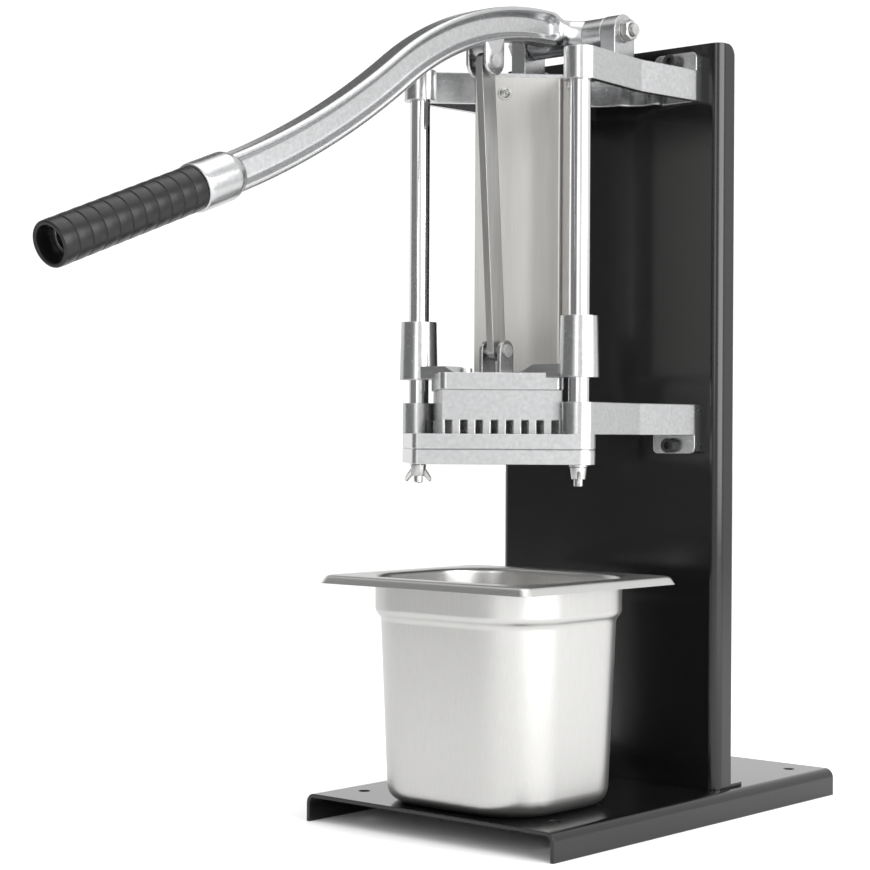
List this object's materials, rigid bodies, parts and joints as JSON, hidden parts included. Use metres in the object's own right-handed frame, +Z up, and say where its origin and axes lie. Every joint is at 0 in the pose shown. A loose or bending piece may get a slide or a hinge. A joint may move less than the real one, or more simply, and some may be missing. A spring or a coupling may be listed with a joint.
{
  "type": "vegetable cutter",
  "caption": "Upright lever cutter for potato chips: a pusher on guide rods is driven by a long handle through a blade grid into a catch pan on a folded black stand.",
  "frame": {"origin": "on the table, under the middle of the overall length, lever almost down", "axes": "+Z up, +Y to the back (column side), the handle points to -Y"},
  "size_m": [0.211, 0.6456, 0.5536],
  "materials": {
    "black_coat": "satin black powder coat",
    "cast_aluminium": "ground and tumbled casting",
    "block_aluminium": "machined",
    "chrome_rod": "polished",
    "stainless_sheet": "brushed stainless steel",
    "blade_steel": "ground stainless steel",
    "link_steel": "satin",
    "tube_steel": "bright drawn",
    "zinc": "zinc plated",
    "black_screw": "black oxide",
    "grip_rubber": "matt black"
  },
  "bodies": {
    "stand": {"base_plate": "black_coat", "column": "black_coat", "column_bolts": "zinc", "column_nuts": "zinc", "upper_frame": "cast_aluminium", "lower_frame": "cast_aluminium", "upper_frame_screws": "black_screw", "lower_frame_screws": "black_screw", "frame_nuts": "zinc", "guide_rod_left": "chrome_rod", "guide_rod_right": "chrome_rod", "feed_chute": "stainless_sheet", "chute_screws": "zinc", "blade_frame": "cast_aluminium", "blades_right": "blade_steel", "blades_left": "blade_steel", "blade_washers": "zinc", "pivot_bolt": "zinc", "pivot_nut": "zinc", "pivot_washers": "zinc"},
    "wing_left": {"wing_nut_left": "zinc"},
    "wing_right": {"wing_nut_right": "zinc"},
    "lever": {"handle_arm": "cast_aluminium", "handle_tube": "tube_steel", "handle_grip": "grip_rubber", "link_pin_upper": "tube_steel"},
    "link": {"link_bar": "link_steel"},
    "pusher": {"pusher_carriage": "cast_aluminium", "pusher_block": "block_aluminium", "block_screws": "zinc", "link_pin_lower": "tube_steel"},
    "pan": {"catch_pan": "stainless_sheet"}
  },
  "joints": [
    {"name": "lever_hinge", "type": "hinge", "parent": "stand", "child": "lever", "pos_m": [0, 0.1411, 0.54], "axis": [-1, 0, 0], "range_deg": [-9, 60]},
    {"name": "pusher_slide", "type": "slide", "parent": "stand", "child": "pusher", "axis": [0, 0, 1], "range_m": [-0.0148, 0.0975]},
    {"name": "link_swing", "type": "hinge", "parent": "pusher", "child": "link", "pos_m": [0, 0.0591, 0.3185], "axis": [-1, 0, 0], "range_deg": [-0.8, 4.5]},
    {"name": "wing_left_turn", "type": "hinge", "parent": "stand", "child": "wing_left", "pos_m": [-0.06925, 0.0591, 0.235], "axis": [0, 0, 1], "continuous": true},
    {"name": "wing_right_turn", "type": "hinge", "parent": "stand", "child": "wing_right", "pos_m": [0.06925, 0.0591, 0.235], "axis": [0, 0, 1], "continuous": true},
    {"name": "pan_slide", "type": "slide", "parent": "stand", "child": "pan", "axis": [0, -1, 0], "range_m": [0, 0.2]}
  ],
  "couplings": [
    {"joint": "pusher_slide", "follows": "lever_hinge", "m_per_rad": 0.0925},
    {"joint": "link_swing", "follows": "lever_hinge", "ratio": 0.0709}
  ]
}
